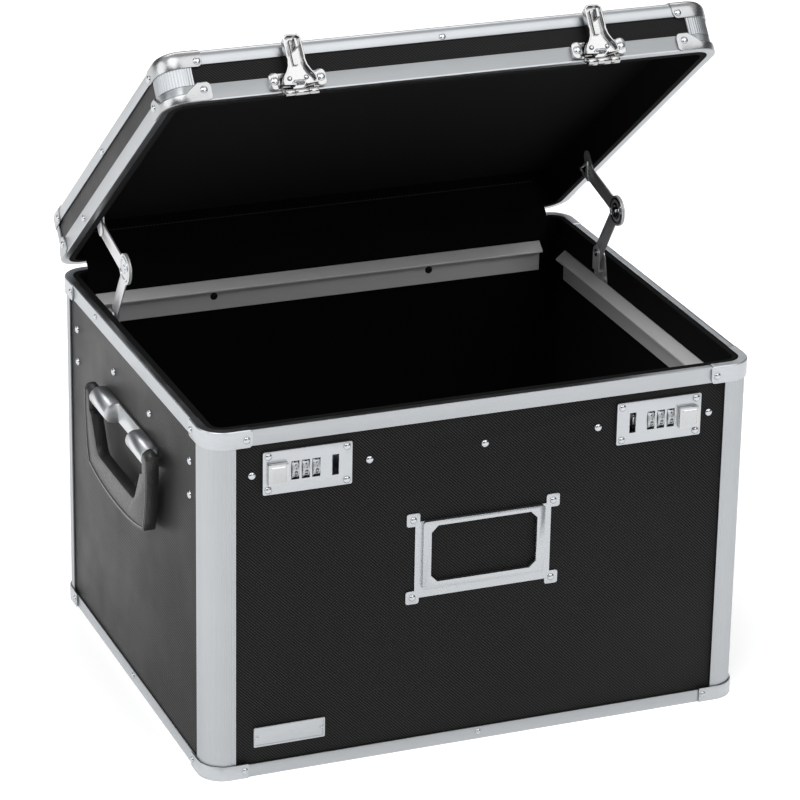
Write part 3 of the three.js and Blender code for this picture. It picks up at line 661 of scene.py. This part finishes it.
def rim_corner_section(distance):
    """Up the case's top rim and in over its outer half."""
    draw = end_round(distance, 3.0)
    low, high = 272.3 + draw, CASE_H + 0.45 - draw * 0.4
    return [(0.15, low), (1.25, low), (1.5, low + 0.5), (1.5, high - 0.8), (0.9, high),
            (-1.5, high), (-5.5, high - 0.05), (-5.5, high - 0.5), (0.15, high - 0.5)]


def cap_rivets(reach, z, corner, proud, radius=2.9):
    """One rivet on each side of a corner, reach from it."""
    sx, sy = corner
    return [
        rivet((sx * (HALF_W - reach), sy * (HALF_D + proud), z), (0, sy, 0), radius, 1.6),
        rivet((sx * (HALF_W + proud), sy * (HALF_D - reach), z), (sx, 0, 0), radius, 1.6),
    ]


def rim_corners():
    for name, corner in CORNERS.items():
        bracket = strip(corner_path(35.8, corner), rim_corner_section)
        make("rim_corner_" + name, "case", aluminium_cap, [bracket], bevel=0.2)
        rivets = cap_rivets(31.2, 278.5, corner, 1.4)
        make("rim_corner_rivets_" + name, "case", rivet_metal, rivets)
        rivets = cap_rivets(30, 6.5, corner, 1.5, 2.5)
        make("base_cap_rivets_" + name, "case", rivet_metal, rivets)


EDGE_ROUND = 6  # radius of the lid's top edge
EDGE_STEPS = 5


def upper_cap_section(distance):
    """Down the lid's side, round its top edge and in over the top."""
    draw = end_round(distance, 4.0)
    low = LID_BASE + 27.0 + draw
    rise = 0.9
    turn = LID_TOP - EDGE_ROUND
    outer = [(rise - 0.2, low), (rise, low + 0.5), (rise, turn)]
    inner = [(0.1, low), (0.1, turn)]
    for step in range(1, EDGE_STEPS + 1):
        angle = math.radians(90 * step / EDGE_STEPS)
        for points, radius in ((outer, EDGE_ROUND + rise), (inner, EDGE_ROUND + 0.1)):
            across = -EDGE_ROUND + radius * math.cos(angle)
            points.append((across, turn + radius * math.sin(angle)))
    reach = -13.0 + draw
    return [*outer, (reach, LID_TOP + rise), (reach, LID_TOP + 0.1), *inner[::-1]]


def lower_cap_section(distance):
    """A band round the corner that widens to a rivet tab at each end."""
    draw = end_round(distance, 3.5)
    slope = min(max((distance - 13.0) / 6.0, 0.0), 1.0)
    high = LID_BASE + 14.6 - 7.6 * slope * slope * (3 - 2 * slope) - draw
    low = LID_BASE + 0.1 + draw * 0.6
    return [(0.1, low), (1.4, low), (1.7, low + 0.5), (1.7, high - 0.6), (1.3, high), (0.1, high)]


def lid_caps():
    for name, corner in CORNERS.items():
        upper = strip(corner_path(32.5, corner), upper_cap_section)
        make("lid_cap_upper_" + name, "lid", polished_cap, [upper], LID, bevel=0.2)
        lower = strip(corner_path(35, corner), lower_cap_section)
        make("lid_cap_lower_" + name, "lid", polished_cap, [lower], LID, bevel=0.2)
        rivets = cap_rivets(28.5, LID_BASE + 31.3, corner, 0.85)
        rivets += cap_rivets(29, LID_BASE + 8.5, corner, 1.6)
        make("lid_cap_rivets_" + name, "lid", rivet_metal, rivets, LID)


# ---- Locks ---------------------------------------------------------------------------------------
# Each digit's one line, in (across, up) from its middle.
DIGITS = (
    [(-0.8, 1.3), (-0.35, 1.75), (0.35, 1.75), (0.8, 1.3), (0.8, -1.3), (0.35, -1.75),
     (-0.35, -1.75), (-0.8, -1.3), (-0.8, 1.3)],
    [(-0.5, 1.2), (0.1, 1.75), (0.1, -1.75)],
    [(-0.8, 1.2), (-0.3, 1.75), (0.4, 1.75), (0.8, 1.2), (0.7, 0.5), (-0.8, -1.75), (0.85, -1.75)],
    [(-0.8, 1.75), (0.75, 1.75), (-0.1, 0.4), (0.5, 0.35), (0.8, -0.3), (0.8, -1.1), (0.35, -1.75),
     (-0.4, -1.75), (-0.8, -1.2)],
    [(0.4, -1.75), (0.4, 1.75), (-0.85, -0.7), (0.9, -0.7)],
    [(0.75, 1.75), (-0.7, 1.75), (-0.75, 0.2), (0.3, 0.35), (0.8, -0.3), (0.75, -1.2),
     (0.3, -1.75), (-0.8, -1.6)],
    [(0.6, 1.75), (-0.4, 1.1), (-0.8, 0), (-0.8, -1.2), (-0.3, -1.75), (0.4, -1.75), (0.8, -1.2),
     (0.8, -0.5), (0.35, 0.1), (-0.75, -0.1)],
    [(-0.8, 1.75), (0.85, 1.75), (-0.2, -1.75)],
    [(0, 0.1), (-0.7, 0.6), (-0.7, 1.3), (-0.3, 1.75), (0.3, 1.75), (0.7, 1.3), (0.7, 0.6),
     (0, 0.1), (-0.8, -0.5), (-0.8, -1.3), (-0.35, -1.75), (0.35, -1.75), (0.8, -1.3),
     (0.8, -0.5), (0, 0.1)],
    [(-0.6, -1.75), (0.4, -1.1), (0.8, 0), (0.8, 1.2), (0.3, 1.75), (-0.4, 1.75), (-0.8, 1.2),
     (-0.8, 0.5), (-0.35, -0.1), (0.75, 0.1)],
)
DIGIT_SIZE = 0.95
STROKE = 0.85
TEETH = 30


def on_dial(x, radius, angle):
    """A point of a dial at x, by its radius and its turn up from the front."""
    return (x, DIAL_Y - radius * math.cos(angle), LOCK_Z + radius * math.sin(angle))


def stroke(points, x, angle):
    """A thin raised line on a dial's rim. points are (across, up) from a digit's middle."""
    parts = []
    for (u0, v0), (u1, v1) in zip(points, points[1:]):
        along = Vector((u1 - u0, v1 - v0)).normalized()
        across = Vector((-along.y, along.x)) * STROKE / 2
        over = along * STROKE / 3
        start, end = Vector((u0, v0)) - over, Vector((u1, v1)) + over
        flat = [start + across, end + across, end - across, start - across]
        parts.append(loft([
            [on_dial(x + u, radius, angle + v / DIAL_RADIUS) for u, v in flat]
            for radius in (DIAL_RADIUS - 0.25, DIAL_RADIUS + 0.1)
        ]))
    return parts


def dials():
    """Digits and teeth round the number dials."""
    for side, s in SIDES:
        for number, place in enumerate(DIALS, 1):
            x = s * place
            parts = []
            for digit, points in enumerate(DIGITS):
                # The two digits next to the middle of the window show: 1 above and 0 below.
                angle = math.radians(36 * (digit - 0.5) + 2)
                line = [(u * DIGIT_SIZE, v * DIGIT_SIZE) for u, v in points]
                parts += stroke(line, x + 0.3, angle)
            name, wheel = f"{side}_dial_{number}", f"{side}_dial_{number}_wheel"
            make(name + "_digits", wheel, digit_ink, parts)
            teeth = []
            for tooth in range(TEETH):
                a = 2 * math.pi * tooth / TEETH
                teeth.append(loft([
                    [on_dial(x + end, radius, a + t)
                     for end, t in ((-2.7, -half), (-1.7, -half), (-1.7, half), (-2.7, half))]
                    for radius, half in ((DIAL_RADIUS - 0.3, 0.085), (DIAL_RADIUS + 0.16, 0.045))
                ]))
            make(name + "_teeth", wheel, dial_metal, teeth)


def lock_rivets():
    for side, s in SIDES:
        parts = [rivet((s * LOCK_X + dx, PLATE_Y, LOCK_Z + dz), (0, -1, 0), 2.9, 1.7)
                 for dx in (-31, 31) for dz in (-13.4, 13.4)]
        make(side + "_lock_rivets", "case", rivet_metal, parts)


# ---- Label holder, blank plate and hasps ---------------------------------------------------------
TRIM_FACE = -HALF_D + PANEL_FACE - GAP  # back of the label holder and of the blank plate


def front_trim_rivets():
    parts = [rivet((sx * 57.3, TRIM_FACE - 0.9, 161.6 + sz * 32.2), (0, -1, 0), 2.8, 1.6)
             for sx in (-1, 1) for sz in (-1, 1)]
    parts += [rivet((x, TRIM_FACE - 1.0, 32.2), (0, -1, 0), 1.5, 1.0) for x in (-182, -129.6)]
    make("front_trim_rivets", "case", rivet_metal, parts)


def badge_border():
    """A raised edge round the blank plate."""
    face = TRIM_FACE - 1.0
    outer = rounded(-184.0, -127.4, 24.4, 40.0, 1.0)
    inner = rounded(-182.9, -128.5, 25.5, 38.9, 0.6)
    rings = ((outer, face + 0.1), (outer, face - 0.45), (inner, face - 0.45), (inner, face + 0.1),
             (outer, face + 0.1))
    loops = [[(x, y, z) for x, z in ring] for ring, y in rings]
    make("badge_border", "case", satin_steel, [loft(loops, capped=False)])


SPRING_TURNS = 9
SPRING_STEPS = 12  # a turn
SPRING_RADIUS = 1.3
SPRING_WIRE = 0.35


def coil(start, end):
    """A round wire wound along X."""
    loops = []
    steps = SPRING_TURNS * SPRING_STEPS
    for step in range(steps + 1):
        t = step / steps
        angle = 2 * math.pi * SPRING_TURNS * t
        middle = Vector(start).lerp(Vector(end), t)
        spoke = Vector((0, math.cos(angle), math.sin(angle)))
        loop = []
        for side in range(6):
            a = side * math.pi / 3
            sideways = Vector((SPRING_WIRE * math.sin(a), 0, 0))
            loop.append(middle + spoke * (SPRING_RADIUS + SPRING_WIRE * math.cos(a)) + sideways)
        loops.append(loop)
    return loft(loops)


def hasp_rivets():
    """Rivets of each hasp's bracket, and the rivets and spring inside its arm."""
    for side, s in SIDES:
        middle = s * SLOT_X
        parts = [rivet((middle + dx, -HALF_D - 3.9, LID_BASE + 8.5), (0, -1, 0), 3.3, 1.9)
                 for dx in (-18, 18)]
        make(side + "_hasp_rivets", "lid", rivet_metal, parts, LID)
        parts = [rivet((middle + dx, HASP_Y - 1, HASP_Z - 11.5), (0, 1, 0), 1.9, 1.3)
                 for dx in (-6.5, 6.5)]
        spring = [(middle + dx, HASP_Y + 0.5, HASP_Z - 8) for dx in (-4.6, 4.6)]
        parts.append(coil(*spring))
        make(side + "_hasp_spring", side + "_hasp", rivet_metal, parts, LID @ FLIP)


# ---- Handles -------------------------------------------------------------------------------------
CURVE_STEPS = 14


def bezier(a, b, c, d):
    """Points of a cubic curve from a, which is left out, to d."""
    points = []
    for step in range(1, CURVE_STEPS + 1):
        t = step / CURVE_STEPS
        near = Vector(a) * (1 - t) ** 3 + Vector(b) * 3 * t * (1 - t) ** 2
        points.append(near + Vector(c) * 3 * t * t * (1 - t) + Vector(d) * t ** 3)
    return points


GRIP_FACE = 12.6  # outer face of each grip, out from the posts' faces
BORDER = ((1.6, -0.1), (1.9, 0.45), (2.5, 0.6), (3.1, 0.45), (3.4, -0.1))


def grip_borders():
    """A smooth raised line round the outer edge of each pebbled grip."""
    path = [Vector((-80, 226))]
    path += bezier((-80, 226), (-80, 205), (-78, 180), (-70, 164))
    path += bezier((-70, 164), (-50, 158), (-24, 156), (0, 156))
    path += bezier((0, 156), (24, 156), (50, 158), (70, 164))
    path += bezier((70, 164), (78, 180), (80, 205), (80, 226))
    for side, s in SIDES:
        loops = []
        for index, point in enumerate(path):
            before, after = path[max(index - 1, 0)], path[min(index + 1, len(path) - 1)]
            along = (after - before).normalized()
            inward = Vector((-along.y, along.x))
            loop = []
            for reach, height in BORDER:
                place = point + inward * reach
                loop.append((s * (HALF_W + GRIP_FACE + height), place.x, place.y))
            loops.append(loop)
        make(side + "_grip_border", side + "_grip", smooth_plastic, [loft(loops)])


# ---- Stays ---------------------------------------------------------------------------------------
# Pivots of each stay, in (y, z), and how far the faces of its layers lie inside the posts' faces.
KNEE = (47.5, 333.0)
STAY_CASE = (79.0, 286.0)
STAY_LID = (106.0, 346.5)
FOOT_FACE = 15.7
LOWER_FACE = 14.0
UPPER_FACE = 12.5
UPPER_BACK = 11.3
LOOP_FACE = 14.2
LOOP_BACK = 12.8
PLATE_FACE = 10.9
PLATE_BACK = 10.0

KNEE_WASHER = [(0, -0.2), (6.8, -0.2), (6.8, 0.3), (6.2, 0.8), (4.6, 0.8), (4.2, 0.5), (3.4, 0.5),
               (3.2, 1.6), (2.2, 2.2), (0, 2.4)]
KNEE_BACK = [(0, -0.2), (3.6, -0.2), (3.4, 0.5), (2.2, 0.85), (0, 0.95)]
PIVOT = [(0, -0.2), (3.3, -0.2), (3.2, 0.4), (2.2, 0.9), (0, 1.0)]
RIDGE_SIDES = 32


def ridge(centre, direction, inside, outside, height):
    """A low round ring pressed up out of a flat arm."""
    profile = [(inside, -0.2), (inside + 0.5, height * 0.8), ((inside + outside) / 2, height),
               (outside - 0.5, height * 0.8), (outside, -0.2)]
    vertices, faces = lathe(profile, centre, (direction, 0, 0), RIDGE_SIDES)
    last = (len(profile) - 1) * RIDGE_SIDES
    for i in range(RIDGE_SIDES):
        j = (i + 1) % RIDGE_SIDES
        faces.append([last + i, last + j, j, i])
    return vertices, faces


def stay_details():
    """Rivets at each stay's knee and pivots, and the rings pressed round its knee."""
    for side, s in SIDES:
        inner = (s * (HALF_W - LOWER_FACE), *KNEE)
        outer = (s * (HALF_W - UPPER_BACK), *KNEE)
        inward, outward = (-s, 0, 0), (s, 0, 0)
        case_end = (s * (HALF_W - FOOT_FACE), *STAY_CASE)
        lid_end = (s * (HALF_W - UPPER_FACE), *STAY_LID)
        front = [lathe(KNEE_WASHER, inner, inward, 28), ridge(inner, -s, 9.0, 11.2, 0.7)]
        back = [lathe(KNEE_BACK, outer, outward, 18), ridge(outer, s, 7.6, 10.4, 0.75)]
        for name, body, parts in (
            ("knee_rivet", side + "_lower_arm", front),
            ("knee_back", side + "_upper_arm", back),
            ("case_pivot", "case", [lathe(PIVOT, case_end, inward, 16)]),
            ("lid_pivot", "lid", [lathe(PIVOT, lid_end, inward, 16)]),
        ):
            make(f"{side}_{name}", body, rivet_metal, parts)


def stay_plates():
    """A wedge-shaped plate on the case's lining at each stay, and a bent loop at its lid pivot."""
    plate = [(66, 262.7), (92, 262.7), (87.5, 284), (84, 287.5), (75, 287.5), (71.5, 284)]
    y0, z0 = STAY_LID
    loop = []
    for along, up in ((-2.5, -7.0), (5.5, 8.0), (-13.0, 9.0)):
        y = y0 - along * math.cos(OPEN) + up * math.sin(OPEN)
        z = z0 + along * math.sin(OPEN) + up * math.cos(OPEN)
        loop.append((y, z))
    middle = Vector((sum(y for y, _ in loop) / 3, sum(z for _, z in loop) / 3))
    hole = [tuple(middle + (Vector(point) - middle) * 0.72) for point in loop]
    rings = ((loop, LOOP_BACK), (loop, LOOP_FACE), (hole, LOOP_FACE), (hole, LOOP_BACK),
             (loop, LOOP_BACK))
    for side, s in SIDES:
        low, high = sorted((s * (HALF_W - PLATE_BACK), s * (HALF_W - PLATE_FACE)))
        parts = [slab(plate, low, high, "YZ")]
        for y in (69.5, 88.5):
            parts.append(rivet((s * (HALF_W - PLATE_FACE), y, 266.5), (-s, 0, 0), 1.8, 1.0))
        make(side + "_stay_plate", "case", stay_metal, parts, bevel=0.15)
        loops = [[(s * (HALF_W - depth), y, z) for y, z in ring] for ring, depth in rings]
        ring = loft(loops, capped=False)
        make(side + "_stay_loop", "lid", stay_metal, [ring], bevel=0.2)


# ---- Cloth ---------------------------------------------------------------------------------------
COVER_FACE = HALF_D - LINING_FACE
COVER_HALF = 202.0
COVER_THICKNESS = 0.6
COVER_COLUMNS = 80
CASE_ROWS = 5
FREE_ROWS = 10
LID_ROWS = 6
SAG = 0.35


def opened(y, z):
    """A point of the shut lid, turned open."""
    a, b = y - HINGE_Y, z - HINGE_Z
    return (HINGE_Y + a * math.cos(OPEN) + b * math.sin(OPEN),
            HINGE_Z - a * math.sin(OPEN) + b * math.cos(OPEN))


def hinge_cover():
    """Black cloth from the case's lining across to the lid's, which hides the hinge from inside."""
    inside = COVER_FACE - 0.1
    low = (inside, 267.3)
    case_edge = (inside, 284.8)
    lid_edge = opened(inside, 289.2)
    high = opened(inside, 311.0)
    path = [Vector(low).lerp(Vector(case_edge), t / CASE_ROWS) for t in range(CASE_ROWS)]
    corner = Vector((COVER_FACE - 0.6, 291.5))
    for step in range(FREE_ROWS + 1):
        t = step / FREE_ROWS
        point = Vector(case_edge) * (1 - t) ** 2 + corner * 2 * t * (1 - t)
        path.append(point + Vector(lid_edge) * t ** 2)
    path += [Vector(lid_edge).lerp(Vector(high), t / LID_ROWS) for t in range(1, LID_ROWS + 1)]

    vertices, faces = [], []
    for layer in (0.0, COVER_THICKNESS):
        for row, point in enumerate(path):
            along = (path[min(row + 1, len(path) - 1)] - path[max(row - 1, 0)]).normalized()
            normal = Vector((-along.y, along.x))
            free = math.sin(math.pi * min(max((row - CASE_ROWS) / FREE_ROWS, 0), 1))
            for column in range(COVER_COLUMNS + 1):
                x = -COVER_HALF + 2 * COVER_HALF * column / COVER_COLUMNS
                sag = SAG * free * (math.sin(x * 0.11) + 0.6 * math.sin(x * 0.043 + 1))
                place = point + normal * (layer + sag)
                vertices.append((x, place.x, place.y))
    rows, columns = len(path), COVER_COLUMNS + 1
    size = rows * columns
    for row in range(rows - 1):
        for column in range(COVER_COLUMNS):
            a = row * columns + column
            b = a + size
            faces.append([a, a + 1, a + columns + 1, a + columns])
            faces.append([b, b + columns, b + columns + 1, b + 1])
    border = list(range(columns))
    border += [row * columns + COVER_COLUMNS for row in range(1, rows)]
    border += [(rows - 1) * columns + column for column in range(COVER_COLUMNS - 1, -1, -1)]
    border += [row * columns for row in range(rows - 2, 0, -1)]
    for a, b in zip(border, border[1:] + border[:1]):
        faces.append([a, size + a, size + b, b])
    cloth = make("hinge_cover", None, cover_cloth, [(vertices, faces)])
    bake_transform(cloth)


def plan_loop(inset, z):
    """The chest's plan outline drawn in by inset, at height z."""
    x, y = HALF_W - inset, HALF_D - inset
    return [(u, v, z) for u, v in rounded(-x, x, -y, y, RADIUS - inset, 8)]


# Section of the edging, as (inset, height past the rim's face).
EDGING = ((4.9, -0.1), (5.0, 0.2), (10.0, 0.2), (10.2, -0.1), (10.2, -2.4), (9.7, -2.4),
          (4.9, -0.1))


def rim_edging():
    """Black edging that folds from each lining over the inner half of its rim."""
    for body, face, out, place in (("case", CASE_H, 1, None), ("lid", LID_BASE, -1, LID)):
        loops = [plan_loop(inset, face + out * past) for inset, past in EDGING]
        ring = loft(loops, capped=False)
        make(body + "_edging", body, cover_cloth, [ring], place)


STITCH_PITCH = 3.15
STITCH_COUNT = 62  # to each side of the middle one


def lining_stitches():
    """A row of stitches across the lid's lining, and one along the top of the hinge cover."""
    parts = []
    # y, z, and half the stitch's size in each: the lid's lining faces down, the cover forward.
    rows = ((131.0, 319.45, 0.35, 0.12), (COVER_FACE - 0.75, 309.0, 0.12, 0.35))
    for y, z, half_y, half_z in rows:
        for index in range(-STITCH_COUNT, STITCH_COUNT + 1):
            x = index * STITCH_PITCH
            outline = [(x - 1.0, y - half_y), (x + 1.0, y - half_y), (x + 1.0, y + half_y),
                       (x - 1.0, y + half_y)]
            parts.append(slab(outline, z - half_z, z + half_z, "XY"))
    make("lining_stitches", "lid", stitch_thread, parts, LID)


# ---- Screws and buttons --------------------------------------------------------------------------
RAIL_THICKNESS = 1.5
LEAF_THICKNESS = 1.2
BUTTON_DEPTH = 3.3


def rail_screws():
    """Two screws through the upright of the front and of the back file rail."""
    inside = COVER_FACE - GAP - RAIL_THICKNESS
    parts = []
    for x in (-95, 95):
        parts.append(screw((x, inside, 252), (0, -1, 0), 3.2, 1.2))
        parts.append(screw((x, -inside, 252), (0, 1, 0), 3.2, 1.2))
    make("rail_screws", "case", black_screw, parts)


def hinge_screws():
    """A row of screws in each leaf of the hinge."""
    face = HALF_D + GAP + 0.7 + LEAF_THICKNESS
    for body, z, place in (("case", HINGE_Z - 13.0, None), ("lid", HINGE_Z + 13.0, LID)):
        parts = [rivet((x, face, z), (0, 1, 0), 2.3, 1.1) for x in range(-175, 176, 50)]
        make("hinge_screws_" + body, body, rivet_metal, parts, place)


def button_details():
    """A sloping finger rest on each release button."""
    face = PLATE_Y - GAP - BUTTON_DEPTH
    low, high = LOCK_Z - 6.6, LOCK_Z + 6.2
    for side, s in SIDES:
        x0, x1 = sorted((s * 161.0, s * 173.6))
        a, b, c, d = x0 + 0.7, x1 - 0.7, LOCK_Z - 5.6, LOCK_Z + 5.2
        foot = [(x, face + 0.1, z) for x, z in ((x0, low), (x1, low), (x1, high), (x0, high))]
        top = [(a, face - 0.5, c), (b, face - 0.5, c), (b, face - 0.9, d), (a, face - 0.9, d)]
        rest = loft([foot, top])
        make(side + "_button_face", side + "_slider", chrome, [rest], bevel=0.3)


make_camera()
make_studio()
dress_frame()
case_rivets()
lid_rivets()
rim_corners()
lid_caps()
dials()
lock_rivets()
front_trim_rivets()
hasp_rivets()
grip_borders()
stay_details()
stay_plates()
hinge_cover()
rim_edging()
lining_stitches()
rail_screws()
hinge_screws()
badge_border()
button_details()
